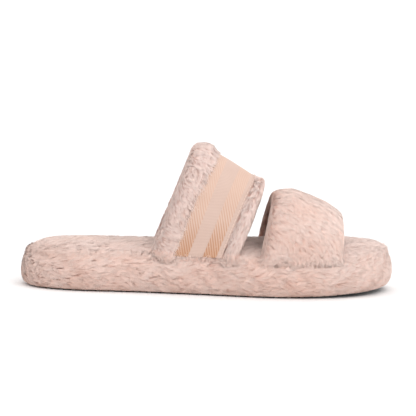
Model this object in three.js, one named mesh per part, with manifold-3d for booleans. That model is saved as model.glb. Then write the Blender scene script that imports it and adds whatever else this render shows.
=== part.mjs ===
/**
 * Two-strap faux-fur house slide for the right foot, a women's size EU 38 to 39.
 *
 * Units are millimetres. +X points to the toe, +Z up and -Y to the outer side of the foot.
 * The origin is on the ground, under the middle of the slide.
 *
 * The platform is a foam core with a board and a soft foam on it. A fur strip is wrapped round its
 * side and turned under it, a fur sock covers the top, and a rubber outsole is bonded underneath.
 * Each strap is a sandwich of fur, thin foam and lining, and the lining runs down as a tab between
 * the foam core and the wrap. The rear strap carries a woven tape between two borders of fur.
 *
 * Everything is laid out on a flat ground first, and then the front is bent up by the toe spring.
 */
import * as THREE from "three";
import { mergeVertices } from "three/addons/utils/BufferGeometryUtils.js";
import Module from "manifold-3d";

const wasm = await Module();
wasm.setup();

// Gap kept between pieces that touch.
const GAP = 0.3;

// Outline of the fur, from the heel tip along the outer side to the toe tip and back (x, y).
const OUTLINE = [
  [-134, 0], [-124, -24], [-96, -37], [-50, -40], [0, -47], [45, -54], [88, -49], [120, -29],
  [134, 5], [123, 34], [92, 51], [55, 53.7], [10, 46], [-40, 38], [-90, 38], [-123, 25],
];
const STEPS_PER_POINT = 4;
const RING_POINTS = OUTLINE.length * STEPS_PER_POINT;

// The front of the platform lifts off the ground from here on, by this much at the toe tip.
const SPRING_START_X = 22;
const SPRING_HEIGHT = 4;
const TOE_X = 134;

// Heights of the layers of the platform.
const OUTSOLE_TOP = 3;
const LASTING_TOP = 4.8;
const MIDSOLE_TOP = 20;
const BOARD_TOP = 21.8;
const WRAP_TOP = 26;
const SOCK_TOP = 31.7;

// Distances inwards from the outline of the fur.
const OUTSOLE_INSET = 5.3;
const LASTING_INNER = 20;
const WRAP_INNER = 9.8;
const MIDSOLE_INSET = WRAP_INNER + GAP;
const BOARD_INSET = 10.4;

// Tread bars across the outsole.
const TREAD_PITCH = 9;
const TREAD_GROOVE = 2.6;
const TREAD_DEPTH = 1.2;
const FIRST_GROOVE_X = -121.5;

// Layers of a strap, as distances outwards from the face that touches the foot.
const LINING_OUTER = 1.2;
const FOAM_INNER = LINING_OUTER + GAP;
const FOAM_OUTER = 3.3;
const FUR_INNER = FOAM_OUTER + GAP;
const FUR_BASE = 4.6;
const TAPE_INNER = FUR_BASE + GAP;
const TAPE_OUTER = 6.1;
const STITCH_RADIUS = 0.4;
const LAYER_SHARES = [0.055, 0.27, 0.5, 0.73, 0.945];
const TAB_BOTTOM = 14;
const STRAP_BASE = WRAP_TOP + GAP;
const ARCH_POWER = 2.2;
const ARCH_STEPS = 26;

// The tape lies between these shares of the rear strap's width.
const TAPE_REAR = 0.28;
const TAPE_FRONT = 0.85;
const STITCH_INSET = 0.035;

// A strap's rear and front edge at its base and at its crown (x), and the crown's height from rear to front.
const REAR_STRAP = {
  baseRear: -41,
  baseFront: 22,
  crownRear: -13,
  crownFront: 39,
  crownHeights: [95, 94.7, 87.2, 78.6, 70.6],
};
const FRONT_STRAP = {
  baseRear: 37.5,
  baseFront: 95,
  crownRear: 46,
  crownFront: 95,
  crownHeights: [61, 62.5, 58, 52.2, 44.3],
};

// ---------------------------------------------------------------- helpers

/** Lift of the ground line at x. */
function spring(x) {
  const share = Math.max(0, (x - SPRING_START_X) / (TOE_X - SPRING_START_X));
  return SPRING_HEIGHT * share * share;
}

/** Bends a geometry up by the toe spring. */
function bent(geometry) {
  const position = geometry.getAttribute("position");
  for (let i = 0; i < position.count; i += 1) {
    position.setZ(i, position.getZ(i) + spring(position.getX(i)));
  }
  return geometry;
}

/** A closed mesh from points and triangles. */
function meshGeometry(points, triangles) {
  const geometry = new THREE.BufferGeometry();
  geometry.setAttribute("position", new THREE.Float32BufferAttribute(points.flat(), 3));
  geometry.setIndex(triangles.flat());
  return geometry;
}

/** The two triangles of a four-sided face. */
function quad(a, b, c, d) {
  return [[a, b, c], [a, c, d]];
}

/** Points of the outline and the directions that point inwards from them. */
function outlineRing() {
  const curve = new THREE.CatmullRomCurve3(
    OUTLINE.map(([x, y]) => new THREE.Vector3(x, y, 0)),
    true,
    "centripetal",
  );
  const ring = [];
  for (let i = 0; i < RING_POINTS; i += 1) {
    const point = curve.getPoint(i / RING_POINTS);
    const along = curve.getTangent(i / RING_POINTS);
    ring.push({ x: point.x, y: point.y, inX: -along.y, inY: along.x });
  }
  return ring;
}

const RING = outlineRing();

/** The outline moved inwards, at one height. */
function insetRing(inset, z) {
  return RING.map((p) => [p.x + p.inX * inset, p.y + p.inY * inset, z]);
}

/** A closed solid through rings of [inset, z], lowest first, with strips across its two ends. */
function flatSolid(levels) {
  const points = levels.flatMap(([inset, z]) => insetRing(inset, z));
  const triangles = [];
  for (let level = 0; level + 1 < levels.length; level += 1) {
    const low = level * RING_POINTS;
    const high = low + RING_POINTS;
    for (let i = 0; i < RING_POINTS; i += 1) {
      const next = (i + 1) % RING_POINTS;
      triangles.push(...quad(low + i, low + next, high + next, high + i));
    }
  }
  const top = (levels.length - 1) * RING_POINTS;
  triangles.push(...capStrips(0, true), ...capStrips(top, false));
  return meshGeometry(points, triangles);
}

/** The same solid, bent up by the toe spring. */
function platformSolid(levels) {
  return bent(flatSolid(levels));
}

/** Triangles that close a ring by strips across it, facing down or up. */
function capStrips(first, down) {
  const half = RING_POINTS / 2;
  const triangles = [[0, 1, RING_POINTS - 1], [half, half + 1, half - 1]];
  for (let i = 1; i < half - 1; i += 1) {
    triangles.push(...quad(i, i + 1, RING_POINTS - i - 1, RING_POINTS - i));
  }
  const facing = triangles.map(([a, b, c]) => (down ? [a, c, b] : [a, b, c]));
  return facing.map((corners) => corners.map((corner) => first + corner));
}

/** A closed ring-shaped solid: a section of [inset, z] points carried round the outline. */
function wrapSolid(section) {
  const points = section.flatMap(([inset, z]) => insetRing(inset, z));
  const triangles = [];
  for (let level = 0; level < section.length; level += 1) {
    const low = level * RING_POINTS;
    const high = ((level + 1) % section.length) * RING_POINTS;
    for (let i = 0; i < RING_POINTS; i += 1) {
      const next = (i + 1) % RING_POINTS;
      triangles.push(...quad(low + i, low + next, high + next, high + i));
    }
  }
  return bent(meshGeometry(points, triangles));
}

/** Y of the outline at x, on the outer side (-1) or the inner side (+1). */
function outlineY(x, side) {
  const half = RING_POINTS / 2;
  const start = side < 0 ? 0 : half;
  for (let i = start; i < start + half; i += 1) {
    const a = RING[i];
    const b = RING[(i + 1) % RING_POINTS];
    if ((a.x - x) * (b.x - x) <= 0 && a.x !== b.x) {
      return a.y + ((b.y - a.y) * (x - a.x)) / (b.x - a.x);
    }
  }
  throw new Error(`the outline does not reach x = ${x}`);
}

/** Height of a strap's crown at a share of its width, on a smooth curve through its heights. */
function crownHeight(strap, share) {
  const curve = new THREE.SplineCurve(
    strap.crownHeights.map((z, i) => new THREE.Vector2(i / (strap.crownHeights.length - 1), z)),
  );
  return curve.getPoint(THREE.MathUtils.clamp(share, 0, 1)).y;
}

/** A signed power, for the squarish arch of a strap. */
function archPower(value) {
  return Math.sign(value) * Math.abs(value) ** (2 / ARCH_POWER);
}

/** Point on the foot side of a strap: turn goes from 0 at the outer side to pi at the inner side. */
function strapPoint(strap, turn, share) {
  const baseX = THREE.MathUtils.lerp(strap.baseRear, strap.baseFront, share);
  const crownX = THREE.MathUtils.lerp(strap.crownRear, strap.crownFront, share);
  const outer = outlineY(baseX, -1) + WRAP_INNER;
  const inner = outlineY(baseX, 1) - WRAP_INNER;
  const rise = archPower(Math.sin(turn));
  const x = THREE.MathUtils.lerp(baseX, crownX, rise);
  const y = (outer + inner) / 2 - ((inner - outer) / 2) * archPower(Math.cos(turn));
  const z = STRAP_BASE + (crownHeight(strap, share) - STRAP_BASE) * rise;
  return new THREE.Vector3(x, y, z);
}

/** Point of a strap's layer, moved outwards by offset, and down by drop below its base. */
function layerPoint(strap, turn, share, offset, drop) {
  const small = 0.002;
  const turnA = Math.max(turn - small, 0);
  const turnB = Math.min(turn + small, Math.PI);
  const along = strapPoint(strap, turnB, share).sub(strapPoint(strap, turnA, share));
  const across = strapPoint(strap, turn, share + small).sub(strapPoint(strap, turn, share - small));
  const out = across.cross(along).normalize();
  const point = strapPoint(strap, turn, share).addScaledVector(out, offset);
  return [point.x, point.y, point.z - drop];
}

/** Places along a strap, from one base to the other, with the ends carried down by drop. */
function strapStations(drop) {
  const stations = [];
  for (let i = 0; i <= ARCH_STEPS; i += 1) {
    stations.push({ turn: (Math.PI * i) / ARCH_STEPS, drop: 0 });
  }
  if (drop > 0) {
    stations.unshift({ turn: 0, drop });
    stations.push({ turn: Math.PI, drop });
  }
  return stations;
}

/**
 * A closed solid of one layer of a strap. Each profile row is [share of the width, inner offset,
 * outer offset]. An outer offset is eased towards the inner one near the base, down to baseShare.
 */
function strapLayer(strap, profile, { drop = 0, baseShare = 1 } = {}) {
  const stations = strapStations(drop);
  const points = [];
  for (const face of [1, 2]) {
    for (const { turn, drop: down } of stations) {
      const ease = baseShare + (1 - baseShare) * Math.min(1, Math.sin(turn) / Math.sin(Math.PI / 6));
      for (const row of profile) {
        const offset = face === 1 ? row[1] : row[1] + (row[2] - row[1]) * ease;
        points.push(layerPoint(strap, turn, row[0], offset, down));
      }
    }
  }
  const width = profile.length;
  const length = stations.length;
  const at = (face, i, j) => (face * length + i) * width + j;
  const triangles = [];
  for (let i = 0; i + 1 < length; i += 1) {
    for (let j = 0; j + 1 < width; j += 1) {
      triangles.push(...quad(at(0, i, j), at(0, i + 1, j), at(0, i + 1, j + 1), at(0, i, j + 1)));
      triangles.push(...quad(at(1, i, j), at(1, i, j + 1), at(1, i + 1, j + 1), at(1, i + 1, j)));
    }
    triangles.push(...quad(at(0, i, 0), at(1, i, 0), at(1, i + 1, 0), at(0, i + 1, 0)));
    const last = width - 1;
    triangles.push(...quad(at(0, i, last), at(0, i + 1, last), at(1, i + 1, last), at(1, i, last)));
  }
  for (let j = 0; j + 1 < width; j += 1) {
    const end = length - 1;
    triangles.push(...quad(at(0, 0, j), at(0, 0, j + 1), at(1, 0, j + 1), at(1, 0, j)));
    triangles.push(...quad(at(0, end, j), at(1, end, j), at(1, end, j + 1), at(0, end, j + 1)));
  }
  return bent(meshGeometry(points, triangles));
}

/** A manifold solid of a closed geometry. */
function toManifold(geometry) {
  const plain = geometry.clone();
  plain.deleteAttribute("normal");
  plain.deleteAttribute("uv");
  const merged = mergeVertices(plain);
  const vertProperties = new Float32Array(merged.getAttribute("position").array);
  const triVerts = new Uint32Array(merged.index.array);
  return new wasm.Manifold(new wasm.Mesh({ numProp: 3, vertProperties, triVerts }));
}

/** A geometry from a manifold solid. */
function fromManifold(solid) {
  const { vertProperties, triVerts } = solid.getMesh();
  const geometry = new THREE.BufferGeometry();
  geometry.setAttribute("position", new THREE.Float32BufferAttribute(vertProperties, 3));
  geometry.setIndex(new THREE.Uint32BufferAttribute(triVerts, 1));
  return geometry;
}

/** The geometry with each of the cutters taken out of it, without the offcuts. */
function cut(geometry, cutters) {
  const solid = cutters.reduce((left, cutter) => left.subtract(toManifold(cutter)), toManifold(geometry));
  const bodies = solid.decompose().sort((a, b) => b.volume() - a.volume());
  return fromManifold(bodies[0]);
}

/** A named mesh with its own material. */
function piece(name, geometry, color, roughness) {
  geometry.computeVertexNormals();
  const material = new THREE.MeshStandardMaterial({ color, roughness, metalness: 0 });
  const mesh = new THREE.Mesh(geometry, material);
  mesh.name = name;
  return mesh;
}

// ---------------------------------------------------------------- platform

/** Rubber outsole with straight tread grooves across it. */
function outsole() {
  const slab = flatSolid([[OUTSOLE_INSET, 0], [OUTSOLE_INSET, OUTSOLE_TOP]]);
  const grooves = [];
  for (let x = FIRST_GROOVE_X; x <= -FIRST_GROOVE_X; x += TREAD_PITCH) {
    const groove = new THREE.BoxGeometry(TREAD_GROOVE, 140, 2 * TREAD_DEPTH);
    groove.translate(x, 0, 0);
    grooves.push(groove);
  }
  return piece("outsole", bent(cut(slab, grooves)), 0x2e2b2a, 0.75);
}

/** Sheet that fills the space inside the turned-under edge of the wrap. */
function bottomFiller() {
  const inset = LASTING_INNER + GAP;
  const geometry = platformSolid([[inset, OUTSOLE_TOP + GAP], [inset, LASTING_TOP]]);
  return piece("bottom_filler", geometry, 0xb9aa90, 0.95);
}

/** Foam core of the platform. */
function midsole() {
  const geometry = platformSolid([
    [MIDSOLE_INSET + 1.2, LASTING_TOP + GAP],
    [MIDSOLE_INSET, LASTING_TOP + GAP + 1.5],
    [MIDSOLE_INSET, MIDSOLE_TOP],
  ]);
  return piece("midsole", geometry, 0xe9e2d8, 0.85);
}

/** Stiff board on the foam core. */
function insoleBoard() {
  const geometry = platformSolid([[BOARD_INSET, MIDSOLE_TOP + GAP], [BOARD_INSET, BOARD_TOP]]);
  return piece("insole_board", geometry, 0x9c7f5e, 0.9);
}

/** Soft foam under the foot. */
function footbedFoam() {
  const geometry = platformSolid([
    [BOARD_INSET, BOARD_TOP + GAP],
    [BOARD_INSET, WRAP_TOP - 1.2],
    [BOARD_INSET + 1.2, WRAP_TOP],
  ]);
  return piece("footbed_foam", geometry, 0xf1e7dc, 0.9);
}

/** Fur strip round the platform, turned under the foam core at its lower edge. */
function sideWrap() {
  const geometry = wrapSolid([
    [5, 1.3], [3.4, 1.4], [1.8, 3], [0.5, 6], [0, 10], [0.4, 15], [1.5, 20], [4.5, WRAP_TOP],
    [WRAP_INNER, WRAP_TOP], [WRAP_INNER, LASTING_TOP], [LASTING_INNER, LASTING_TOP],
    [LASTING_INNER, OUTSOLE_TOP + GAP], [5, OUTSOLE_TOP + GAP],
  ]);
  const inside = -3;
  const slots = [REAR_STRAP, FRONT_STRAP].map((strap) => strapLayer(
    strap,
    [0.045, ...LAYER_SHARES.slice(1, -1), 0.955].map((share) => [share, inside, LINING_OUTER + GAP]),
    { drop: STRAP_BASE - TAB_BOTTOM + GAP },
  ));
  return piece("side_wrap", cut(geometry, slots), 0xe3bfb1, 1);
}

/** Fur sock over the top of the platform, notched where the straps come up through its edge. */
function footbedSock() {
  const geometry = platformSolid([
    [4.5, STRAP_BASE], [6.2, 27.5], [9.5, 29.2], [16, 31], [24, SOCK_TOP],
  ]);
  const reach = 30;
  const notches = [REAR_STRAP, FRONT_STRAP].map((strap) => strapLayer(
    strap,
    [-0.006, 0.25, 0.5, 0.75, 1.006].map((share) => [share, -GAP, reach]),
    { drop: 4 },
  ));
  return piece("footbed_sock", cut(geometry, notches), 0xe6c6ba, 1);
}

// ---------------------------------------------------------------- straps

/** Lining on the foot side of a strap, with the tabs that are bonded to the foam core. */
function strapLining(name, strap) {
  const profile = LAYER_SHARES.map((share) => [share, 0, LINING_OUTER]);
  const geometry = strapLayer(strap, profile, { drop: STRAP_BASE - TAB_BOTTOM });
  return piece(name, geometry, 0xd9b3a4, 0.95);
}

/** Thin foam between a strap's lining and its fur. */
function strapFoam(name, strap) {
  const profile = LAYER_SHARES.map((share) => [share, FOAM_INNER, FOAM_OUTER]);
  return piece(name, strapLayer(strap, profile), 0xf3ece2, 0.9);
}

/** Rows of a fur layer's profile that turn round an edge of the strap, from the edge inwards. */
function furEdge(share, direction) {
  return [
    [share, 1.2, 3.2],
    [share + 0.012 * direction, 0.2, 5.2],
    [share + 0.036 * direction, 0.2, 7.2],
    [share + 0.041 * direction, FUR_INNER, 7.5],
    [share + 0.055 * direction, FUR_INNER, 7.9],
  ];
}

/** Fur of the rear strap: two thick borders and a thin band for the tape between them. */
function rearStrapFur() {
  const profile = [
    ...furEdge(0, 1),
    [0.1, FUR_INNER, 9],
    [0.2, FUR_INNER, 9.2],
    [TAPE_REAR - 0.02, FUR_INNER, 8.4],
    [TAPE_REAR - 0.012, FUR_INNER, FUR_BASE],
    [LAYER_SHARES[2], FUR_INNER, FUR_BASE],
    [LAYER_SHARES[3], FUR_INNER, FUR_BASE],
    [TAPE_FRONT + 0.012, FUR_INNER, FUR_BASE],
    [TAPE_FRONT + 0.02, FUR_INNER, 7],
    [0.93, FUR_INNER, 8.2],
    ...furEdge(1, -1).reverse(),
  ];
  return piece("rear_strap_fur", strapLayer(REAR_STRAP, profile, { baseShare: 0.72 }), 0xe4c4b8, 1);
}

/** Fur of the front strap, thick all over. */
function frontStrapFur() {
  const profile = [
    ...furEdge(0, 1),
    [0.13, FUR_INNER, 8.7],
    [LAYER_SHARES[1], FUR_INNER, 9],
    [LAYER_SHARES[2], FUR_INNER, 9],
    [LAYER_SHARES[3], FUR_INNER, 9],
    [0.87, FUR_INNER, 8.7],
    ...furEdge(1, -1).reverse(),
  ];
  return piece("front_strap_fur", strapLayer(FRONT_STRAP, profile, { baseShare: 0.72 }), 0xe4c4b8, 1);
}

/** Woven tape that lies across the rear strap. */
function strapTape() {
  const shares = [0, 0.25, 0.5, 0.75, 1].map((part) => THREE.MathUtils.lerp(TAPE_REAR, TAPE_FRONT, part));
  const profile = shares.map((share) => [share, TAPE_INNER, TAPE_OUTER]);
  return piece("strap_tape", strapLayer(REAR_STRAP, profile), 0xe9c8b0, 0.8);
}

/** One row of thread that sews an edge of the tape down. */
function tapeStitch(name, share) {
  const path = new THREE.CatmullRomCurve3(
    strapStations(0).slice(1, -1).map(({ turn }) => (
      new THREE.Vector3(...layerPoint(REAR_STRAP, turn, share, TAPE_OUTER + GAP + STITCH_RADIUS, 0))
    )),
  );
  const section = new THREE.Shape().absarc(0, 0, STITCH_RADIUS, 0, 2 * Math.PI);
  const geometry = new THREE.ExtrudeGeometry(section, {
    extrudePath: path,
    steps: ARCH_STEPS * 2,
    curveSegments: 3,
    bevelEnabled: false,
  });
  return piece(name, bent(geometry), 0xe8cdbf, 0.8);
}

// ---------------------------------------------------------------- assembly

const platform = new THREE.Group();
platform.add(outsole(), bottomFiller(), midsole(), insoleBoard(), footbedFoam(), sideWrap(), footbedSock());

const rearStrap = new THREE.Group();
rearStrap.add(
  strapLining("rear_strap_lining", REAR_STRAP),
  strapFoam("rear_strap_foam", REAR_STRAP),
  rearStrapFur(),
  strapTape(),
  tapeStitch("tape_stitch_rear", TAPE_REAR + STITCH_INSET),
  tapeStitch("tape_stitch_front", TAPE_FRONT - STITCH_INSET),
);

const frontStrap = new THREE.Group();
frontStrap.add(
  strapLining("front_strap_lining", FRONT_STRAP),
  strapFoam("front_strap_foam", FRONT_STRAP),
  frontStrapFur(),
);

const slide = new THREE.Group();
slide.add(platform, rearStrap, frontStrap);

export default slide;
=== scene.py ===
"""Looks of a two-strap faux-fur house slide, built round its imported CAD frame.

The CAD nodes give every place and size. Each fur node becomes a soft body and a pile of tapering strands,
bent in the middle, that grow from it in small locks. The tape is woven in mesh, and sewn down with single
stitches.
"""

import math

import bpy
import numpy as np
from mathutils import Matrix, Vector
from mathutils.bvhtree import BVHTree
from mathutils.kdtree import KDTree


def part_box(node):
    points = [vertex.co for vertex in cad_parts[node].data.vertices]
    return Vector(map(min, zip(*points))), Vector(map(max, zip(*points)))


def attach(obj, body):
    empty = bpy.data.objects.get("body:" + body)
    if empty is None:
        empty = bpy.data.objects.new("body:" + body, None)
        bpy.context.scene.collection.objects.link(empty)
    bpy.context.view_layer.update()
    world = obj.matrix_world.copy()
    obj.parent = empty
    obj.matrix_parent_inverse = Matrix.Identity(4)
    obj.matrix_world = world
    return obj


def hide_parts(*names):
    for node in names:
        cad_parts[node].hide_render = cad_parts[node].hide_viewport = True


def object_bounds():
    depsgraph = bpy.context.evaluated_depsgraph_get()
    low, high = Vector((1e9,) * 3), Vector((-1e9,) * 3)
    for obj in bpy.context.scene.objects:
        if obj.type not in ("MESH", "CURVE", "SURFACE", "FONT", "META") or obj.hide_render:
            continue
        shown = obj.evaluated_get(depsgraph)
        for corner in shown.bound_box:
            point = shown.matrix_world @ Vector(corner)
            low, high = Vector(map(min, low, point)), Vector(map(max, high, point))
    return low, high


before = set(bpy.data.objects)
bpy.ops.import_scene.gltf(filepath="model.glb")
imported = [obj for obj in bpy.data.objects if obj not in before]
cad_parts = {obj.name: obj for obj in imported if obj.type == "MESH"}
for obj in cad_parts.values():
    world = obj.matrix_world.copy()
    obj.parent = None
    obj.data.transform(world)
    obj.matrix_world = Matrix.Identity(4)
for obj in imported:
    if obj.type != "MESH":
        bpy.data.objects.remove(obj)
MM = 0.001
CAD_BOX = [list(corner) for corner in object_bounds()]

# Camera: almost side on, a little above, tilted a touch.
ELEVATION = math.radians(6.5)
ROLL = math.radians(1.2)
CAMERA_DISTANCE = 1.7
FRAME_WIDTH = 300.5 * MM
AIM_HEIGHT = 57.3 * MM
SENSOR = 36.0

# Strands of the pile.
STRAND_RADIUS = 0.18 * MM
MIDDLE_RADIUS_SHARE = 0.8
STRANDS_PER_PIECE = 19000
STRAND_POINTS = 7
FLOOR_GAP = 1.2 * MM
WARM_TONE = (0.985, 0.87, 0.82)
PALE_TONE = (1.03, 1.06, 1.09)

# Where a body counts as open: nothing this close to it, nor in front of it.
TOUCHING = 0.4 * MM
CLEAR_AHEAD = 1.2 * MM
EASE_ROUNDS = 4

# How the lay of the pile wanders.
SWIRL_WIDTH = 26 * MM
SMALL_SWIRL = 0.45


# ---------------------------------------------------------------- helpers

def rng_for(name):
    """A random generator whose draws depend only on the name."""
    return np.random.default_rng(sum((i + 1) * ord(c) for i, c in enumerate(name)))


def unit(vectors):
    """Rows scaled to length 1."""
    return vectors / np.maximum(np.linalg.norm(vectors, axis=-1, keepdims=True), 1e-12)


def waves(points, wavelength, seed, count=9):
    """A smooth random field over points, about -1 to 1: plane waves in random directions."""
    rng = np.random.default_rng(seed)
    ways = unit(rng.normal(size=(count, 3))) * (2 * math.pi / wavelength)
    ways *= rng.uniform(0.7, 1.4, size=(count, 1))
    phases = rng.uniform(0, 2 * math.pi, size=count)
    return np.sin(points @ ways.T + phases).sum(axis=1) / math.sqrt(count)


def node_arrays(node):
    """Vertices and triangles of a CAD node, with its doubled vertices merged."""
    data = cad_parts[node].data
    co = np.empty(len(data.vertices) * 3)
    data.vertices.foreach_get("co", co)
    data.calc_loop_triangles()
    tris = np.empty(len(data.loop_triangles) * 3, dtype=np.int32)
    data.loop_triangles.foreach_get("vertices", tris)
    keys = np.round(co.reshape(-1, 3) / (0.001 * MM)).astype(np.int64)
    _, first, back = np.unique(keys, axis=0, return_index=True, return_inverse=True)
    return co.reshape(-1, 3)[first], back.reshape(-1)[tris].reshape(-1, 3)


def nodes_tree(nodes):
    """One search tree over the surfaces of several CAD nodes."""
    points, faces, start = [], [], 0
    for node in nodes:
        co, tris = node_arrays(node)
        points += co.tolist()
        faces += (tris + start).tolist()
        start += len(co)
    return BVHTree.FromPolygons(points, faces)


def new_object(name, points, faces, material):
    """A mesh object from arrays of points and of faces with the same number of corners."""
    faces = np.asarray(faces, dtype=np.int32)
    corners = faces.shape[1]
    mesh = bpy.data.meshes.new(name)
    mesh.vertices.add(len(points))
    mesh.vertices.foreach_set("co", np.asarray(points, dtype=np.float32).ravel())
    mesh.loops.add(faces.size)
    mesh.loops.foreach_set("vertex_index", faces.ravel())
    mesh.polygons.add(len(faces))
    mesh.polygons.foreach_set("loop_start", np.arange(0, faces.size, corners, dtype=np.int32))
    mesh.polygons.foreach_set("use_smooth", np.ones(len(faces), dtype=bool))
    mesh.update(calc_edges=True)
    mesh.materials.append(material)
    piece = bpy.data.objects.new(name, mesh)
    bpy.context.scene.collection.objects.link(piece)
    return piece


def set_uv(piece, per_vertex):
    """A UV map with one place for each vertex."""
    layer = piece.data.uv_layers.new(name="OFBake")
    index = np.empty(len(piece.data.loops), dtype=np.int32)
    piece.data.loops.foreach_get("vertex_index", index)
    layer.data.foreach_set("uv", np.asarray(per_vertex, dtype=np.float32)[index].ravel())


def apply_modifiers(piece):
    """Bakes the piece's modifiers into its mesh."""
    graph = bpy.context.evaluated_depsgraph_get()
    shaped = bpy.data.meshes.new_from_object(piece.evaluated_get(graph))
    piece.modifiers.clear()
    old = piece.data
    piece.data = shaped
    bpy.data.meshes.remove(old)
    shaped.polygons.foreach_set("use_smooth", np.ones(len(shaped.polygons), dtype=bool))


def mesh_arrays(piece):
    """Points, point normals and triangles of a piece."""
    mesh = piece.data
    count = len(mesh.vertices)
    co = np.empty(count * 3)
    mesh.vertices.foreach_get("co", co)
    normals = np.empty(count * 3)
    mesh.vertex_normals.foreach_get("vector", normals)
    mesh.calc_loop_triangles()
    tris = np.empty(len(mesh.loop_triangles) * 3, dtype=np.int32)
    mesh.loop_triangles.foreach_get("vertices", tris)
    return co.reshape(-1, 3), normals.reshape(-1, 3), tris.reshape(-1, 3)


# ---------------------------------------------------------------- materials

def new_material(name, roughness, sheen=0.0, sheen_tint=(1, 1, 1)):
    """A material with a Principled shader and its plain values."""
    material = bpy.data.materials.new(name)
    material.use_nodes = True
    shader = material.node_tree.nodes["Principled BSDF"]
    shader.inputs["Roughness"].default_value = roughness
    shader.inputs["Specular IOR Level"].default_value = 0.12
    shader.inputs["Sheen Weight"].default_value = sheen
    shader.inputs["Sheen Roughness"].default_value = 0.6
    shader.inputs["Sheen Tint"].default_value = (*sheen_tint, 1)
    return material, material.node_tree.nodes, material.node_tree.links, shader


def ramp(nodes, stops):
    """A colour ramp through (place, colour) stops."""
    node = nodes.new("ShaderNodeValToRGB")
    elements = node.color_ramp.elements
    while len(elements) < len(stops):
        elements.new(0.5)
    for element, (place, colour) in zip(elements, stops):
        element.position = place
        element.color = (*colour, 1)
    return node


def noise_node(nodes, links, scale, detail):
    """A noise texture in object space, with its scale per metre."""
    node = nodes.new("ShaderNodeTexNoise")
    node.inputs["Scale"].default_value = scale
    node.inputs["Detail"].default_value = detail
    links.new(nodes.new("ShaderNodeTexCoord").outputs["Object"], node.inputs["Vector"])
    return node


def split_uv(nodes, links):
    """A node that gives the two coordinates of the piece's UV map apart."""
    place = nodes.new("ShaderNodeUVMap")
    place.uv_map = "OFBake"
    split = nodes.new("ShaderNodeSeparateXYZ")
    links.new(place.outputs["UV"], split.inputs["Vector"])
    return split


def mix_colour(nodes, links, blend, factor, a, b):
    """A colour mix node; factor may be a number or a socket."""
    node = nodes.new("ShaderNodeMix")
    node.data_type = "RGBA"
    node.blend_type = blend
    if isinstance(factor, (int, float)):
        node.inputs["Factor"].default_value = factor
    else:
        links.new(factor, node.inputs["Factor"])
    for socket, value in ((node.inputs["A"], a), (node.inputs["B"], b)):
        if isinstance(value, tuple):
            socket.default_value = (*value, 1)
        else:
            links.new(value, socket)
    return node.outputs["Result"]


def bump(nodes, links, shader, height, distance):
    """A bump from a height socket."""
    node = nodes.new("ShaderNodeBump")
    node.inputs["Distance"].default_value = distance
    node.inputs["Strength"].default_value = 1.0
    links.new(height, node.inputs["Height"])
    links.new(node.outputs["Normal"], shader.inputs["Normal"])


def mottle(nodes, links, shader, scale, detail, stops):
    """Colours the shader by a ramp over a noise, and gives the noise for use in a bump."""
    noise = noise_node(nodes, links, scale, detail)
    colour = ramp(nodes, stops)
    links.new(noise.outputs["Fac"], colour.inputs["Fac"])
    links.new(colour.outputs["Color"], shader.inputs["Base Color"])
    return noise.outputs["Fac"]


def fur_material(name, root, middle, tip):
    """Pile: darker at the root as painted shade deep in the pile, paler at the tip, each strand warmer or
    cooler by its own tone.
    """
    material, nodes, links, shader = new_material(name, 0.9, 0.12, (1.0, 0.9, 0.85))
    split = split_uv(nodes, links)
    along = ramp(nodes, [(0.0, root), (0.45, middle), (1.0, tip)])
    links.new(split.outputs["Y"], along.inputs["Fac"])
    tone = ramp(nodes, [(0.0, WARM_TONE), (0.5, (1, 1, 1)), (1.0, PALE_TONE)])
    links.new(split.outputs["X"], tone.inputs["Fac"])
    colour = mix_colour(nodes, links, "MULTIPLY", 1.0, along.outputs["Color"], tone.outputs["Color"])
    links.new(colour, shader.inputs["Base Color"])
    return material


def body_material(name, low, high):
    """The dense under-pile, seen between the strands, mottled up from the darker root colour: partly painted
    shade between the strands.
    """
    material, nodes, links, shader = new_material(name, 0.95, 0.1, (1.0, 0.9, 0.86))
    mottle(nodes, links, shader, 260.0, 4.0, [(0.3, low), (0.7, high)])
    fine = noise_node(nodes, links, 1400.0, 3.0)
    bump(nodes, links, shader, fine.outputs["Fac"], 0.3 * MM)
    return material


# ---------------------------------------------------------------- fur

def soft_body(name, node, voxel, material):
    """A smooth copy of a fur node's solid, remeshed so that its sides are soft."""
    co, tris = node_arrays(node)
    piece = new_object(name, co, tris, material)
    remesh = piece.modifiers.new("remesh", "REMESH")
    remesh.mode = "VOXEL"
    remesh.voxel_size = voxel
    smooth = piece.modifiers.new("smooth", "SMOOTH")
    smooth.factor = 0.5
    smooth.iterations = 6
    apply_modifiers(piece)
    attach(piece, "root")
    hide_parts(node)
    return piece


def open_share(points, normals, tris, node):
    """1 where a body is open, 0 where other pieces lie on it, eased over a few triangles between."""
    others = nodes_tree([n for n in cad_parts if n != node])
    share = np.ones(len(points))
    for i, (p, n) in enumerate(zip(points, normals)):
        start = Vector(p)
        touched = others.find_nearest(start)[3] < TOUCHING
        if touched or others.ray_cast(start, Vector(n), CLEAR_AHEAD)[0] is not None:
            share[i] = 0
    edges = np.concatenate([tris[:, [0, 1]], tris[:, [1, 2]], tris[:, [2, 0]]])
    near = np.maximum(np.bincount(edges[:, 0], minlength=len(points)), 1)
    for _ in range(EASE_ROUNDS):
        share = (share + np.bincount(edges[:, 0], share[edges[:, 1]], len(points)) / near) / 2
    return share


def is_outside(skin, place, near, distance):
    """Whether a place is outside a skin, by the mean normal of the faces that meet at its nearest point."""
    outward = Vector()
    for _, normal, _, _ in skin.find_nearest_range(near, 0.05 * MM):
        outward += normal
    return (place - near).dot(outward.normalized()) > -0.3 * distance


def held_to_skin(skin, points, reach):
    """Points pulled back to within reach outside a skin."""
    result = points.copy()
    for i, point in enumerate(points):
        place = Vector(point)
        near, _, _, distance = skin.find_nearest(place)
        if distance > reach[i] and is_outside(skin, place, near, distance):
            result[i] = near + (place - near) * (reach[i] / distance)
    return result


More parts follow.
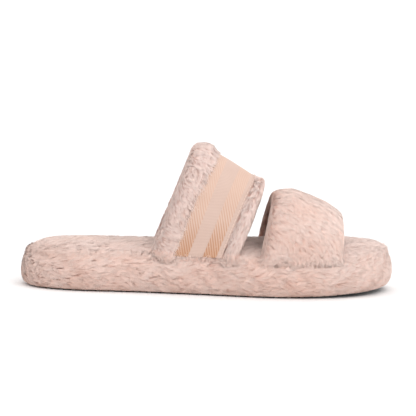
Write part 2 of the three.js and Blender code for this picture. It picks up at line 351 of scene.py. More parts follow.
def sink_body(piece, node, depth):
    """Lowers the open parts of a body to make room for its pile, and says how open each point is."""
    co, normals, tris = mesh_arrays(piece)
    share = open_share(co, normals, tris, node)
    lumps = 1 + 0.35 * waves(co, 11 * MM, 5) + 0.2 * waves(co, 5 * MM, 6)
    co = co - normals * (share * depth * lumps)[:, None]
    piece.data.vertices.foreach_set("co", co.astype(np.float32).ravel())
    piece.data.update()
    return share


def scatter_roots(piece, share, count, how, rng):
    """Random places on the open parts of a body, even by area, and the normals there."""
    co, normals, tris = mesh_arrays(piece)
    corners = co[tris]
    sides = np.cross(corners[:, 1] - corners[:, 0], corners[:, 2] - corners[:, 0])
    weight = np.linalg.norm(sides, axis=1) / 2 * (share[tris].mean(axis=1) > how["open_from"])
    if "where" in how:
        weight = weight * how["where"](corners.mean(axis=1))
    chosen = rng.choice(len(tris), size=count, p=weight / weight.sum())
    mix = rng.dirichlet((1, 1, 1), size=count)[:, :, None]
    return (corners[chosen] * mix).sum(axis=1), unit((normals[tris[chosen]] * mix).sum(axis=1))


def lay_strands(roots, ups, lock, lock_size, how, rng):
    """Middles and tips of strands that lean over from their roots, gathered in locks."""
    count = len(roots)
    angles = how["swirl"](roots) + rng.normal(size=lock_size)[lock] * how["scatter"]
    angles += 0.08 * rng.normal(size=count)
    lay = unit(turned(along_surface(how["flow"](roots, ups), ups), ups, angles))
    length = how["length"] * rng.uniform(0.75, 1.2, count)
    lean = how["lean"] + 0.16 * rng.normal(size=count) + 0.14 * waves(roots, 9 * MM, 21)
    first = unit(ups * np.cos(lean * 0.6)[:, None] + lay * np.sin(lean * 0.6)[:, None])
    last = unit(ups * np.cos(lean * 1.25)[:, None] + lay * np.sin(lean * 1.25)[:, None])
    middles = roots + first * (length * 0.5)[:, None]
    tips = middles + last * (length * 0.5)[:, None]

    middles += (mean_by(middles, lock, lock_size)[lock] - middles) * 0.3
    tips += (mean_by(tips, lock, lock_size)[lock] - tips) * how["gather"]
    tips += rng.normal(size=tips.shape) * 0.35 * MM
    level = np.interp(ups[:, 2], [0.85, 1.0], [how["side_reach"], 1.0])
    reach = how["reach"] * level * rng.uniform(0.1, 1.0, count)
    middles = held_to_skin(how["skin"], middles, reach * 0.5)
    tips = held_to_skin(how["skin"], tips, reach)
    for points in (middles, tips):
        points[:, 2] = np.maximum(points[:, 2], FLOOR_GAP)
    return middles, tips


def strand_tones(roots, ups, lock, lock_size, how, rng):
    """0 for a warm strand to 1 for a pale one; paler on up-facing roots and near the toe as painted light,
    and alike within a lock.
    """
    lock_tone = rng.uniform(0, 1, lock_size)
    # Painted light: strands on up-facing roots and towards the toe are made paler, as though lit more.
    toe = np.clip((roots[:, 0] - 60 * MM) / (74 * MM), 0, 1)
    tone = how["tone"] + 0.16 * ups[:, 2] + 0.25 * toe
    tone += 0.2 * (lock_tone[lock] - 0.5) + 0.1 * waves(roots, 30 * MM, 31)
    tone += 0.08 * rng.normal(size=len(roots))
    return np.clip(tone, 0.01, 0.99)


def grow(piece, share, count, name, material, how):
    """Grows a pile of strands from the open parts of a body, in pieces of a limited size."""
    rng = rng_for(name)
    roots, ups = scatter_roots(piece, share, count, how, rng)
    lock, lock_size = nearest_of(roots, how["lock_share"], rng)
    middles, tips = lay_strands(roots, ups, lock, lock_size, how, rng)
    tone = strand_tones(roots, ups, lock, lock_size, how, rng)
    parts = math.ceil(count / STRANDS_PER_PIECE)
    for part in range(parts):
        mine = slice(part, None, parts)
        pile = strands(
            f"{name}_{part + 1}", roots[mine], middles[mine], tips[mine], ups[mine], tone[mine],
            how["radius"], material,
        )
        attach(pile, "root")


def along_surface(vectors, normals):
    """The part of each vector that lies along the surface."""
    return vectors - normals * (vectors * normals).sum(axis=1, keepdims=True)


def turned(vectors, axes, angles):
    """Vectors square to the axes, turned about them by the angles."""
    return vectors * np.cos(angles)[:, None] + np.cross(axes, vectors) * np.sin(angles)[:, None]


def nearest_of(points, share, rng):
    """Picks a share of the points as centres and gives each point the number of its nearest one."""
    count = max(1, int(len(points) * share))
    centres = points[rng.choice(len(points), size=count, replace=False)]
    tree = KDTree(count)
    for i, centre in enumerate(centres):
        tree.insert(centre, i)
    tree.balance()
    return np.array([tree.find(p)[1] for p in points]), count


def mean_by(values, group, count):
    """Mean of the values in each group."""
    total = np.stack([np.bincount(group, values[:, k], count) for k in range(3)], axis=1)
    return total / np.maximum(np.bincount(group, minlength=count), 1)[:, None]


def strands(name, roots, middles, tips, ups, tone, radius, material):
    """Three-sided strands through root, middle and tip, closed at the root and pointed at the tip."""
    count = len(roots)
    way = unit(middles - roots)
    side = unit(np.cross(way, ups) + 1e-9)
    over = np.cross(way, side)
    points = np.empty((count, STRAND_POINTS, 3))
    for k in range(3):
        angle = 2 * math.pi * k / 3
        spoke = side * math.cos(angle) + over * math.sin(angle)
        points[:, k] = roots + spoke * radius
        points[:, 3 + k] = middles + spoke * radius * MIDDLE_RADIUS_SHARE
    points[:, 6] = tips
    pattern = [(0, 2, 1)]
    for k in range(3):
        nxt = (k + 1) % 3
        pattern += [(k, nxt, 3 + nxt), (k, 3 + nxt, 3 + k), (3 + k, 3 + nxt, 6)]
    starts = STRAND_POINTS * np.arange(count)[:, None, None]
    faces = (np.array(pattern)[None] + starts).reshape(-1, 3)
    piece = new_object(name, points.reshape(-1, 3), faces, material)
    shade = soft_normals(points, roots, middles, tips, ups)
    piece.data.normals_split_custom_set_from_vertices(shade.reshape(-1, 3))
    place = np.empty((count, STRAND_POINTS, 2))
    place[:, :, 0] = tone[:, None]
    place[:, :3, 1] = 0.02
    place[:, 3:6, 1] = 0.5
    place[:, 6, 1] = 0.98
    set_uv(piece, place.reshape(-1, 2))
    return piece


def soft_normals(points, roots, middles, tips, ups):
    """Shading normals between a strand's own and the surface's, which make the fur look soft."""
    middle_line = np.stack([roots] * 3 + [middles] * 3 + [tips], axis=1)
    own = unit(points - middle_line)
    own[:, 6] = unit(ups + 0.6 * unit(tips - middles))
    facing = (own * ups[:, None]).sum(axis=2, keepdims=True)
    return unit(own + ups[:, None] * (0.6 + 1.6 * np.clip(facing + 0.3, 0, 1)))


# ---------------------------------------------------------------- straps

class StrapSurface:
    """The foot side of a strap, as a smooth grid.

    The turn goes from 0 at the outer base to 1 at the inner base, and the share from 0 at the rear edge to 1
    at the front edge.
    """

    TURNS = 41
    SHARES = 7
    INSET = 0.4 * MM
    SMOOTH_ROUNDS = 4
    TABLE_SIZE = 400

    def __init__(self, lining, fur):
        self.tree = nodes_tree([lining])
        low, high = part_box(lining)
        self.middle_y = (low.y + high.y) / 2
        self.base_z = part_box(fur)[0].z + 0.1 * MM
        rows = []
        for i in range(self.TURNS):
            angle = math.pi * i / (self.TURNS - 1)
            rear, front = self.reach(self.tree, angle, low.x, high.x)
            span = front - rear - 2 * self.INSET
            shares = np.linspace(0, 1, self.SHARES)
            rows.append([self.hit(self.tree, angle, rear + self.INSET + span * share) for share in shares])
        grid = np.array(rows)
        for _ in range(self.SMOOTH_ROUNDS):
            grid[1:-1] = (grid[:-2] + 2 * grid[1:-1] + grid[2:]) / 4
        self.grid = grid
        self.turns_by_length()

    def hit(self, tree, angle, x):
        """Where a ray from the middle of the base line first meets the tree, or None."""
        way = Vector((0, -math.cos(angle), math.sin(angle)))
        found = tree.ray_cast(Vector((x, self.middle_y, self.base_z)), way)[0]
        return None if found is None else tuple(found)

    def reach(self, tree, angle, low_x, high_x):
        """Rear and front x between which rays at this angle meet the tree."""
        step = 0.2 * MM
        xs = np.arange(low_x - 2 * step, high_x + 2 * step, step)
        met = [x for x in xs if self.hit(tree, angle, x) is not None]
        return min(met), max(met)

    def turns_by_length(self):
        """Keeps the length of the middle line up to each turn, so that points can be spaced evenly."""
        self.turn_table = np.linspace(0, 1, self.TABLE_SIZE)
        line = self.at(self.turn_table, np.full(self.TABLE_SIZE, 0.5))
        steps = np.linalg.norm(np.diff(line, axis=0), axis=1)
        self.length_table = np.concatenate([[0], np.cumsum(steps)])
        self.length = self.length_table[-1]

    def turn_at(self, length):
        """Turn at which the middle line has this length."""
        return np.interp(length, self.length_table, self.turn_table)

    def at(self, turn, share, offset=0.0):
        """Points at turn and share, moved outwards by offset; shares past 0 and 1 carry on straight."""
        turn, share = np.broadcast_arrays(np.asarray(turn, float), np.asarray(share, float))
        points = self.plain(turn, share)
        if np.any(offset):
            points = points + self.out(turn, share) * np.asarray(offset)[..., None]
        return points

    def plain(self, turn, share):
        """Points of the smooth grid: cubic along the strap, straight between its columns."""
        along = np.clip(turn, 0, 1) * (self.TURNS - 1)
        column = np.clip(np.floor(share * (self.SHARES - 1)), 0, self.SHARES - 2).astype(int)
        part = (share * (self.SHARES - 1) - column)[..., None]
        return self.row_point(along, column) * (1 - part) + self.row_point(along, column + 1) * part

    def row_point(self, along, column):
        """Point on one column by a Catmull-Rom curve through its rows."""
        row = np.clip(np.floor(along), 0, self.TURNS - 2).astype(int)
        t = (along - row)[..., None]
        p0, p1, p2, p3 = (
            self.grid[np.clip(row + k, 0, self.TURNS - 1), column] for k in (-1, 0, 1, 2)
        )
        square = 2 * p0 - 5 * p1 + 4 * p2 - p3
        cube = 3 * p1 - p0 - 3 * p2 + p3
        return 0.5 * (2 * p1 + (p2 - p0) * t + square * t ** 2 + cube * t ** 3)

    def out(self, turn, share):
        """Outward normals, from slopes taken over a few millimetres so that they turn smoothly."""
        d_turn, d_share = 0.012, 0.12
        ahead = self.plain(np.minimum(turn + d_turn, 1), share)
        behind = self.plain(np.maximum(turn - d_turn, 0), share)
        across = self.plain(turn, share + d_share) - self.plain(turn, share - d_share)
        return unit(np.cross(across, ahead - behind))

    def layer(self, node):
        """Inner and outer offset of a CAD layer at the middle of the crown."""
        tree = nodes_tree([node])
        point = self.at(0.5, 0.55)
        out = Vector(self.out(np.array(0.5), np.array(0.55)))
        back = 0.05 * MM
        start = Vector(point) - out * back
        inner = tree.ray_cast(start, out)
        outer = tree.ray_cast(inner[0] + out * back, out)
        return (inner[0] - start).length - back, (outer[0] - start).length - back

    def shares_of(self, node):
        """The shares between which a CAD node lies, measured near the outer base."""
        angle = math.radians(8)
        low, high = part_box(node)
        own = self.reach(nodes_tree([node]), angle, low.x, high.x)
        whole = self.reach(self.tree, angle, *(c.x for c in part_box("rear_strap_lining")))
        return [(x - whole[0]) / (whole[1] - whole[0]) for x in own]


def grid_solid(name, inner, outer, material):
    """A closed solid between two grids of points with the same rows and columns."""
    rows, columns = inner.shape[:2]
    number = np.arange(rows * columns).reshape(rows, columns)
    top = number + rows * columns

    def cells(a, flip):
        quads = np.stack([a[:-1, :-1], a[1:, :-1], a[1:, 1:], a[:-1, 1:]], axis=-1).reshape(-1, 4)
        return quads[:, ::-1] if flip else quads

    def wall(low, high):
        return np.stack([low[:-1], low[1:], high[1:], high[:-1]], axis=-1)

    faces = np.concatenate([
        cells(number, False), cells(top, True),
        wall(number[0], top[0]), wall(number[-1], top[-1])[:, ::-1],
        wall(number[:, 0], top[:, 0])[:, ::-1], wall(number[:, -1], top[:, -1]),
    ])
    points = np.concatenate([inner.reshape(-1, 3), outer.reshape(-1, 3)])
    return new_object(name, points, faces, material)


# ---------------------------------------------------------------- tape

REAR_SELVEDGE = 1.2 * MM
FRONT_SELVEDGE = 3.8 * MM
TWILL_WIDTH = 10.3 * MM
RIB_ACROSS = 1.75 * MM
RIB_ALONG = 3.3 * MM
RIB_HEIGHT = 0.26 * MM
PICK_PITCH = 1.1 * MM
PICK_HEIGHT = 0.07 * MM
SELVEDGE_ROLL = 0.3 * MM
STITCH_INSET = 1.1 * MM
STITCH_LIFT = 0.35 * MM
TAPE_STEP_ALONG = 0.3 * MM
TAPE_STEP_ACROSS = 0.55 * MM


def twill_starts(width):
    """Where the two bands of twill start across the tape."""
    return REAR_SELVEDGE, width - FRONT_SELVEDGE - TWILL_WIDTH


def tape_material(width, length):
    """Woven tape: peach twill bands, plain pink bands between and beside them; painted shade in the hollows
    of the weave and towards its lower ends, painted highlight on its crests.
    """
    material, nodes, links, shader = new_material("woven_tape", 0.75, 0.15, (1.0, 0.93, 0.88))
    split = split_uv(nodes, links)
    soft = 0.012
    stops = []
    for start in twill_starts(width):
        low, high = start / width, (start + TWILL_WIDTH) / width
        stops += [(low, (0, 0, 0)), (low + soft, (1, 1, 1)), (high - soft, (1, 1, 1)), (high, (0, 0, 0))]
    bands = ramp(nodes, stops)
    links.new(split.outputs["X"], bands.inputs["Fac"])

    def wave(a, b):
        """A sine over the tape's own plane, a and b turns per metre across and along."""
        total = nodes.new("ShaderNodeMath")
        total.operation = "MULTIPLY_ADD"
        links.new(split.outputs["X"], total.inputs[0])
        total.inputs[1].default_value = 2 * math.pi * a * width
        along = nodes.new("ShaderNodeMath")
        along.operation = "MULTIPLY"
        links.new(split.outputs["Y"], along.inputs[0])
        along.inputs[1].default_value = 2 * math.pi * b * length
        links.new(along.outputs[0], total.inputs[2])
        sine = nodes.new("ShaderNodeMath")
        sine.operation = "SINE"
        links.new(total.outputs[0], sine.inputs[0])
        half = nodes.new("ShaderNodeMath")
        half.operation = "MULTIPLY_ADD"
        links.new(sine.outputs[0], half.inputs[0])
        half.inputs[1].default_value = 0.5
        half.inputs[2].default_value = 0.5
        return half.outputs[0]

    # The rib colours follow the rib relief: darker grooves are painted shade and paler crests a painted
    # highlight, faint on the crown and full towards the lower ends.
    ribs = ramp(nodes, [(0.0, (0.58, 0.33, 0.23)), (0.45, (0.67, 0.46, 0.365)), (1.0, (0.71, 0.54, 0.455))])
    rib_shade_fade = ramp(nodes, [(0.08, (1, 1, 1)), (0.3, (0.4,) * 3), (0.7, (0.4,) * 3), (0.92, (1, 1, 1))])
    links.new(split.outputs["Y"], rib_shade_fade.inputs["Fac"])
    depth = mix_colour(
        nodes, links, "MIX", rib_shade_fade.outputs["Color"], (0.6, 0.6, 0.6), wave(1 / RIB_ACROSS, 1 / RIB_ALONG),
    )
    links.new(depth, ribs.inputs["Fac"])
    # The pick colours follow the pick relief the same way: painted shade in the hollows, painted highlight on
    # the crests.
    picks = ramp(nodes, [(0.0, (0.61, 0.44, 0.37)), (1.0, (0.67, 0.50, 0.43))])
    links.new(wave(0, 1 / PICK_PITCH), picks.inputs["Fac"])
    plain, twill = picks.outputs["Color"], ribs.outputs["Color"]
    colour = mix_colour(nodes, links, "MIX", bands.outputs["Color"], plain, twill)
    patch = noise_node(nodes, links, 55.0, 2.0)
    patch_tint = ramp(nodes, [(0.3, (0.95, 0.93, 0.92)), (0.7, (1.0, 1.0, 1.0))])
    links.new(patch.outputs["Fac"], patch_tint.inputs["Fac"])
    tinted = mix_colour(nodes, links, "MULTIPLY", 1.0, colour, patch_tint.outputs["Color"])
    # Painted shade: the tape is made darker and warmer towards its lower ends.
    end_shade_tint = (0.86, 0.70, 0.56)
    ends = ramp(nodes, [(0.0, end_shade_tint), (0.16, (1, 1, 1)), (0.84, (1, 1, 1)), (1.0, end_shade_tint)])
    links.new(split.outputs["Y"], ends.inputs["Fac"])
    end_shaded = mix_colour(nodes, links, "MULTIPLY", bands.outputs["Color"], tinted, ends.outputs["Color"])
    links.new(end_shaded, shader.inputs["Base Color"])
    yarn = noise_node(nodes, links, 2600.0, 2.0)
    bump(nodes, links, shader, yarn.outputs["Fac"], 0.15 * MM)
    return material


def rib_strength(share):
    """How deep the ribs are at a share of the tape's length: deepest near its two ends."""
    return np.interp(np.abs(share - 0.5), [0.2, 0.42], [0.4, 1.0])


def tape_relief(across, along, width, length):
    """Height of the weave at distances across and along the tape."""
    ribs = np.sin(2 * math.pi * (across / RIB_ACROSS + along / RIB_ALONG)) * RIB_HEIGHT
    ribs = ribs * rib_strength(along / length)
    picks = np.sin(2 * math.pi * along / PICK_PITCH) * PICK_HEIGHT
    starts = twill_starts(width)
    twill = np.any([(across > start) & (across < start + TWILL_WIDTH) for start in starts], axis=0)
    rear_roll = np.sin(math.pi * np.clip(across / REAR_SELVEDGE, 0, 1))
    front_roll = np.sin(math.pi * np.clip((width - across) / FRONT_SELVEDGE, 0, 1))
    return np.where(twill, ribs, picks) + (rear_roll + front_roll) * SELVEDGE_ROLL


def build_tape(surface):
    """The woven tape over the rear strap."""
    inner, outer = surface.layer("strap_tape")
    first, last = surface.shares_of("strap_tape")
    crown = surface.at(0.5, np.linspace(first, last, 30), outer)
    width = np.linalg.norm(np.diff(crown, axis=0), axis=1).sum()
    length = surface.length
    lengths = np.linspace(0, length, int(length / TAPE_STEP_ALONG))
    across = np.linspace(0, width, int(width / TAPE_STEP_ACROSS))
    turns = surface.turn_at(lengths)[:, None]
    shares = (first + (last - first) * across / width)[None, :]
    relief = tape_relief(across[None, :], lengths[:, None], width, length)
    sway = 0.25 * MM * np.sin(lengths / (17 * MM))[:, None]
    low = surface.at(turns, shares, np.broadcast_to(inner, relief.shape))
    high = surface.at(turns, shares, outer - 0.2 * MM + relief + sway)
    tape = grid_solid("strap_tape_woven", low, high, tape_material(width, length))
    place = np.stack(np.broadcast_arrays(across[None, :] / width, lengths[:, None] / length), axis=-1)
    set_uv(tape, np.concatenate([place.reshape(-1, 2)] * 2))
    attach(tape, "root")
    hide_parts("strap_tape")
    return width, outer, (first, last)


def build_stitches(surface, node, name, share, offset, material):
    """A row of single lockstitches along the tape."""
    pitch, gap, radius = 3.4 * MM, 0.8 * MM, 0.24 * MM
    count = int(surface.length / pitch)
    rings, sides = 6, 8
    points, faces = [], []
    for number in range(1, count):
        start = (number * pitch, (number + 1) * pitch - gap)
        lengths = np.linspace(*start, rings)
        rise = np.sin(np.linspace(0, math.pi, rings)) * 0.35 * MM - 0.2 * MM
        turns = surface.turn_at(lengths)
        line = surface.at(turns, np.full(rings, share), offset + rise)
        along = unit(np.gradient(line, axis=0))
        up = surface.out(turns, np.full(rings, share))
        side = unit(np.cross(along, up))
        first = len(points)
        for k in range(rings):
            thin = radius * (0.55 if k in (0, rings - 1) else 1.0)
            for s in range(sides):
                angle = 2 * math.pi * s / sides
                points.append(line[k] + (side[k] * math.cos(angle) + up[k] * math.sin(angle)) * thin)
        for k in range(rings - 1):
            for s in range(sides):
                a, b = first + k * sides + s, first + k * sides + (s + 1) % sides
                faces += [(a, b, b + sides), (a, b + sides, a + sides)]
        for s in range(1, sides - 1):
            end = first + (rings - 1) * sides
            faces += [(first, first + s + 1, first + s), (end, end + s, end + s + 1)]
    stitches = new_object(name, np.array(points), faces, material)
    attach(stitches, "root")
    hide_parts(node)


def thread_material():
    """Twisted sewing thread."""
    material, nodes, links, shader = new_material("thread", 0.6, 0.2)
    twist = nodes.new("ShaderNodeTexWave")
    twist.inputs["Scale"].default_value = 900.0
    twist.inputs["Distortion"].default_value = 2.0
    links.new(nodes.new("ShaderNodeTexCoord").outputs["Object"], twist.inputs["Vector"])
    colour = ramp(nodes, [(0.0, (0.7, 0.5, 0.42)), (1.0, (0.88, 0.72, 0.64))])
    links.new(twist.outputs["Fac"], colour.inputs["Fac"])
    links.new(colour.outputs["Color"], shader.inputs["Base Color"])
    bump(nodes, links, shader, twist.outputs["Fac"], 0.1 * MM)
    return material


# ---------------------------------------------------------------- lining

def lining_material():
    """Brushed knit, a little darker and browner than the fur."""
    material, nodes, links, shader = new_material("brushed_knit", 0.95, 0.3, (1.0, 0.86, 0.8))
    stops = [(0.3, (0.50, 0.32, 0.26)), (0.7, (0.66, 0.46, 0.39))]
    bump(nodes, links, shader, mottle(nodes, links, shader, 420.0, 5.0, stops), 0.5 * MM)
    return material


def build_lining(surface, node, name, material):
    """The lining on the foot side of a strap, with its tabs between the foam core and the wrap."""
    inner, outer = surface.layer(node)
    rows, columns = int(surface.length / (1.1 * MM)), 48
    lengths = np.linspace(0, surface.length, rows)
    turns = surface.turn_at(lengths)[:, None]
    shares = np.linspace(0, 1, columns)[None, :]
    flat = surface.at(turns, np.broadcast_to(shares, (rows, columns)))
    nubs = (waves(flat.reshape(-1, 3), 2.4 * MM, 71) * 0.12 * MM).reshape(rows, columns)
    grids = []
    for offset in (np.full((rows, columns), inner) + nubs + 0.15 * MM, np.full((rows, columns), outer)):
        face = surface.at(turns, shares, offset)
        drop = np.array([0, 0, face[0, :, 2].min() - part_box(node)[0].z])
        steps = np.linspace(1, 0.15, 6)[:, None, None]
        start = face[:1] - drop * steps
        end = face[-1:] - drop * steps[::-1]
        grids.append(np.concatenate([start, face, end]))
    piece = grid_solid(name, grids[0], grids[1], material)
    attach(piece, "root")
    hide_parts(node)
    return piece


# ---------------------------------------------------------------- platform

def rubber_material():
    """Dark moulded rubber with a fine grain."""
    material, nodes, links, shader = new_material("moulded_rubber", 0.7)
    shader.inputs["Specular IOR Level"].default_value = 0.4
    stops = [(0.3, (0.02, 0.018, 0.017)), (0.75, (0.05, 0.045, 0.042))]
    bump(nodes, links, shader, mottle(nodes, links, shader, 900.0, 4.0, stops), 0.2 * MM)
    return material


def foam_material(name, low, high, scale):
    """Foam or board with fine cells or fibres."""
    material, nodes, links, shader = new_material(name, 0.9)
    cells = mottle(nodes, links, shader, scale, 5.0, [(0.35, low), (0.65, high)])
    bump(nodes, links, shader, cells, 0.3 * MM)
    return material


def dress(node, material):
    """Gives a CAD node that stays its own material."""
    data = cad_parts[node].data
    data.materials.clear()
    data.materials.append(material)


def round_edges(node, width):
    """Softens the sharp edges of a CAD node that stays."""
    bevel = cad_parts[node].modifiers.new("bevel", "BEVEL")
    bevel.width = width
    bevel.segments = 2
    bevel.limit_method = "ANGLE"
    bevel.angle_limit = math.radians(50)


# ---------------------------------------------------------------- looks of the piles

def outwards(roots):
    """Level directions away from the middle line of the sole."""
    middle = np.zeros_like(roots)
    middle[:, 0] = np.clip(roots[:, 0], -88 * MM, 88 * MM)
    return unit((roots - middle) * [1, 1, 0])


def side_flow(roots, ups):
    """Round the platform, a little down below, a little up and inwards at the top rim."""
    out = outwards(roots)
    rise = np.interp(roots[:, 2], [4 * MM, 26 * MM], [-0.35, 0.3])
    along = np.stack([-out[:, 1], out[:, 0], rise], axis=1)
    return along - out * (np.clip(ups[:, 2], 0, 1) * 0.9)[:, None]


def top_flow(roots, ups):
    """Towards the toe, and outwards near the rim."""
    rim = np.clip(1.5 - 1.5 * ups[:, 2:], 0, 1)
    return np.array([1.0, 0.25, 0.0]) * (1 - rim) + outwards(roots) * rim


def seam_flow(roots, ups):
    """Over the seam between the wrap and the sock, slanted along it."""
    out = outwards(roots)
    along = np.stack([-out[:, 1], out[:, 0], np.full(len(roots), 0.5)], axis=1)
    return along - out * 0.7


def strap_flow(roots, ups):
    """Forwards and down the sides of the strap."""
    aside = np.clip(roots[:, 1] / (25 * MM), -1, 1) * 0.35
    return np.stack([np.full(len(roots), 0.6), aside, np.full(len(roots), -0.6)], axis=1)


def hem_flow(roots, ups):
    """Down and out over the rim of the platform."""
    return outwards(roots) * 0.5 + np.array([0.25, 0, -0.8])


def border_flow(roots, ups):
    """Down the sides of the rear strap, and over the rear edge of the tape."""
    to_tape = np.array([tuple(TAPE_SKIN.find_nearest(Vector(p))[0]) for p in roots]) - roots
    pull = np.where(to_tape[:, 0] > 0, 0.9, 0.35)[:, None]
    return strap_flow(roots, ups) * [0.2, 1, 1.2] + unit(to_tape) * pull


def tuft_flow(roots, ups):
    """Up and out from where the straps meet the platform, every way round."""
    return outwards(roots) * 0.8 + np.array([0.3, 0, 0.7])


def sock_seam(points):
    """1 on the platform close to the edge of the sock, 0 elsewhere."""
    return np.array([SOCK_SKIN.find_nearest(Vector(p))[3] < 3.2 * MM for p in points], dtype=float)


def strap_hems(points):
    """1 on the lowest part of a strap, 0 above."""
    return (points[:, 2] < points[:, 2].min() + 5 * MM).astype(float)


def strap_feet(points):
    """1 on the platform's side and rim close below a strap, 0 elsewhere."""
    near = np.array([STRAPS_SKIN.find_nearest(Vector(p))[3] for p in points])
    return ((near < 4.5 * MM) & (np.abs(points[:, 1]) > 35 * MM)).astype(float)


def swirl(strength, seed):
    """A field of angles by which the lay of the pile wanders, widely and in small."""
    def angles(points):
        wide = waves(points, SWIRL_WIDTH, seed) * strength
        return wide + waves(points, SWIRL_WIDTH / 4, seed + 1) * strength * SMALL_SWIRL
    return angles


def look(flow, skin, length, lean, strength, seed, **more):
    """What a pile looks like; lengths in metres, lean in radians from the surface's normal.

    lock_share is the number of locks to strands, and gather how far a lock's tips draw together. reach is how
    far tips may stand out of the skin, times side_reach where the surface doesn't face up.
    """
    values = {
        "flow": flow, "skin": skin, "length": length, "lean": lean, "swirl": swirl(strength, seed),
        "lock_share": 0.08, "gather": 0.3, "scatter": 0.16, "radius": STRAND_RADIUS, "tone": 0.45,
        "reach": 1.3 * MM, "side_reach": 0.8, "open_from": 0.3,
    }
    values.update(more)
    return values


# ---------------------------------------------------------------- the slipper

# The root colours are darker than the tips: painted shade deep in the pile, where strands shade each other.
FUR_SHADED_ROOT, FUR_MIDDLE, FUR_TIP = (0.86, 0.57, 0.48), (0.92, 0.69, 0.61), (0.94, 0.77, 0.70)
NAP_SHADED_ROOT, NAP_MIDDLE, NAP_TIP = (0.48, 0.3, 0.24), (0.64, 0.45, 0.38), (0.74, 0.56, 0.49)
pile_material = fur_material("fur_pile", FUR_SHADED_ROOT, FUR_MIDDLE, FUR_TIP)
lining_pile_material = fur_material("lining_pile", NAP_SHADED_ROOT, NAP_MIDDLE, NAP_TIP)
# The under-pile starts from the darker root colour, painted shade between the strands.
under_pile = body_material("under_pile", FUR_SHADED_ROOT, (0.94, 0.67, 0.59))

PLATFORM_SKIN = nodes_tree(["side_wrap", "footbed_sock"])
REAR_SKIN = nodes_tree(["rear_strap_fur", "strap_tape"])
FRONT_SKIN = nodes_tree(["front_strap_fur"])
TAPE_SKIN = nodes_tree(["strap_tape"])
FUR_SKIN = nodes_tree(["side_wrap", "footbed_sock", "rear_strap_fur", "strap_tape", "front_strap_fur"])
SOCK_SKIN = nodes_tree(["footbed_sock"])
STRAPS_SKIN = nodes_tree(["rear_strap_fur", "strap_tape", "front_strap_fur"])

# flow, skin, length, lean, strength of the swirl, seed, and what differs from the usual
SIDE_LOOK = look(side_flow, PLATFORM_SKIN, 10.5 * MM, 1.15, 0.24, 101, tone=0.3)
SOCK_LOOK = look(top_flow, PLATFORM_SKIN, 9 * MM, 1.15, 0.3, 111, reach=3 * MM, side_reach=0.4)
# The rear strap's pile has a paler tone as painted light, and the front strap's a warmer one as painted
# shade, set to how each is lit.
REAR_LOOK = look(
    border_flow, REAR_SKIN, 7 * MM, 1.2, 0.35, 121,
    reach=1.1 * MM, tone=0.75, scatter=0.1, gather=0.15, open_from=0.12,
)
FRONT_LOOK = look(strap_flow, FRONT_SKIN, 8.5 * MM, 1.15, 0.25, 131, reach=1.2 * MM, tone=0.25, gather=0.2)
FEET_LOOK = look(
    tuft_flow, PLATFORM_SKIN, 7.5 * MM, 0.75, 1.3, 151,
    reach=4.5 * MM, tone=0.3, where=strap_feet, lock_share=0.03, gather=0.55,
)
HEM_LOOK = look(
    hem_flow, FUR_SKIN, 8.5 * MM, 1.0, 0.6, 171,
    reach=2 * MM, tone=0.35, where=strap_hems, lock_share=0.04, gather=0.5, open_from=0.12,
)
SEAM_LOOK = look(
    seam_flow, PLATFORM_SKIN, 8.5 * MM, 1.0, 0.7, 161,
    reach=2.2 * MM, side_reach=0.9, tone=0.35, where=sock_seam, lock_share=0.05, gather=0.3, open_from=0.1,
)
FOOT_STRANDS = 9000
SEAM_STRANDS = 19000
HEM_STRANDS = 7000
NAP_STRANDS = 16000
FURS = [
    # node, slot, voxel, sink, strands, look, fill
    ("side_wrap", "platform_fur", 1.6 * MM, 1.9 * MM, 95000, SIDE_LOOK, None),
    ("footbed_sock", "footbed_fur", 1.6 * MM, 1.3 * MM, 57000, SOCK_LOOK, 0.7),
    ("rear_strap_fur", "strap_fur", 0.9 * MM, 1.1 * MM, 38000, REAR_LOOK, 0.7),
    ("front_strap_fur", "strap_fur", 1.3 * MM, 1.2 * MM, 57000, FRONT_LOOK, 0.7),
]


def build_furs():
    """Every fur piece: its body and its pile."""
    for node, slot, voxel, sink, count, how, fill in FURS:
        name = node.replace("_fur", "")
        body = soft_body(f"{name}_body", node, voxel, under_pile)
        share = sink_body(body, node, sink)
        grow(body, share, count, f"{name}_pile", pile_material, how)
        if node == "side_wrap":
            grow(body, share, FOOT_STRANDS, "strap_foot_tufts", pile_material, FEET_LOOK)
            grow(body, share, SEAM_STRANDS, "seam_tufts", pile_material, SEAM_LOOK)
        if slot == "strap_fur":
            grow(body, share, HEM_STRANDS, f"{name}_hem", pile_material, HEM_LOOK)


def build_straps():
    """Tape, stitches and linings."""
    rear = StrapSurface("rear_strap_lining", "rear_strap_fur")
    front = StrapSurface("front_strap_lining", "front_strap_fur")
    width, outer, (first, last) = build_tape(rear)
    thread = thread_material()
    inset = (last - first) * STITCH_INSET / width
    lift = outer + STITCH_LIFT
    build_stitches(rear, "tape_stitch_rear", "tape_stitches_rear", first + inset, lift, thread)
    build_stitches(rear, "tape_stitch_front", "tape_stitches_front", last - inset, lift, thread)
    knit = lining_material()
    for surface, node in ((rear, "rear_strap_lining"), (front, "front_strap_lining")):
        fuzz = look(strap_flow, nodes_tree([node]), 2.6 * MM, 0.8, 0.9, 141, radius=0.16 * MM, reach=4 * MM)
        piece = build_lining(surface, node, f"{node}_knit", knit)
        share = open_share(*mesh_arrays(piece), node)
        grow(piece, share, NAP_STRANDS, f"{node}_nap", lining_pile_material, fuzz)


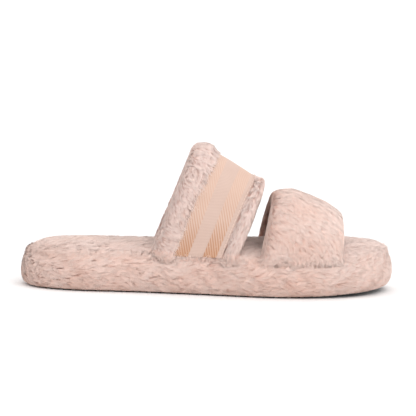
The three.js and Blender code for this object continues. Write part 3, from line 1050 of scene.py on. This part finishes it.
def build_platform():
    """The CAD nodes that stay."""
    dress("outsole", rubber_material())
    round_edges("outsole", 0.35 * MM)
    dress("midsole", foam_material("eva_foam", (0.72, 0.66, 0.6), (0.8, 0.75, 0.69), 1500.0))
    soft = foam_material("soft_foam", (0.8, 0.74, 0.66), (0.88, 0.83, 0.76), 900.0)
    for node in ("footbed_foam", "rear_strap_foam", "front_strap_foam"):
        dress(node, soft)
    dress("insole_board", foam_material("fibre_board", (0.2, 0.13, 0.08), (0.33, 0.22, 0.14), 500.0))
    dress("bottom_filler", foam_material("pressed_felt", (0.3, 0.25, 0.18), (0.42, 0.36, 0.28), 700.0))


# ---------------------------------------------------------------- stage

FLOOR_HALF = 60.0
SUN_ANGLE = math.radians(50)


def floor_material():
    """Plain pale floor."""
    material, _, _, shader = new_material("floor", 0.9)
    shader.inputs["Base Color"].default_value = (0.9, 0.9, 0.9, 1)
    return material


def build_stage():
    """Floor, soft lights and a pale surround."""
    half = FLOOR_HALF
    corners = [(-half, -half, 0), (half, -half, 0), (half, half, 0), (-half, half, 0)]
    floor = new_object("floor", corners, [(0, 1, 2, 3)], floor_material())
    world = bpy.data.worlds.new("surround")
    bpy.context.scene.world = world
    world.use_nodes = True
    background = world.node_tree.nodes["Background"]
    background.inputs["Color"].default_value = (1, 1, 1, 1)
    background.inputs["Strength"].default_value = 1.0
    sun_light("key", (0.7, -1.0, 1.1), 0.84)
    sun_light("top", (0.1, 0.2, 1.0), 0.36)


def sun_light(name, side, strength):
    """A soft distant light from one side."""
    data = bpy.data.lights.new(name, "SUN")
    data.energy = strength
    data.angle = SUN_ANGLE
    light = bpy.data.objects.new(name, data)
    bpy.context.scene.collection.objects.link(light)
    light.rotation_euler = Vector(side).to_track_quat("Z", "Y").to_euler()


def build_camera():
    """The camera, aimed past the middle of the object's box."""
    low, high = (Vector(c) for c in CAD_BOX)
    aim = Vector(((low.x + high.x) / 2, (low.y + high.y) / 2, AIM_HEIGHT))
    back = Vector((0, -math.cos(ELEVATION), math.sin(ELEVATION)))
    data = bpy.data.cameras.new("camera")
    data.sensor_width = SENSOR
    data.lens = SENSOR * CAMERA_DISTANCE / FRAME_WIDTH
    data.clip_end = 50
    camera = bpy.data.objects.new("camera", data)
    bpy.context.scene.collection.objects.link(camera)
    place = Matrix.Translation(aim + back * CAMERA_DISTANCE)
    turn = back.to_track_quat("Z", "Y").to_matrix().to_4x4()
    camera.matrix_world = place @ turn @ Matrix.Rotation(ROLL, 4, "Z")
    bpy.context.scene.camera = camera


build_camera()
bpy.context.scene.view_settings.view_transform = "Standard"
build_stage()
build_furs()
build_straps()
build_platform()
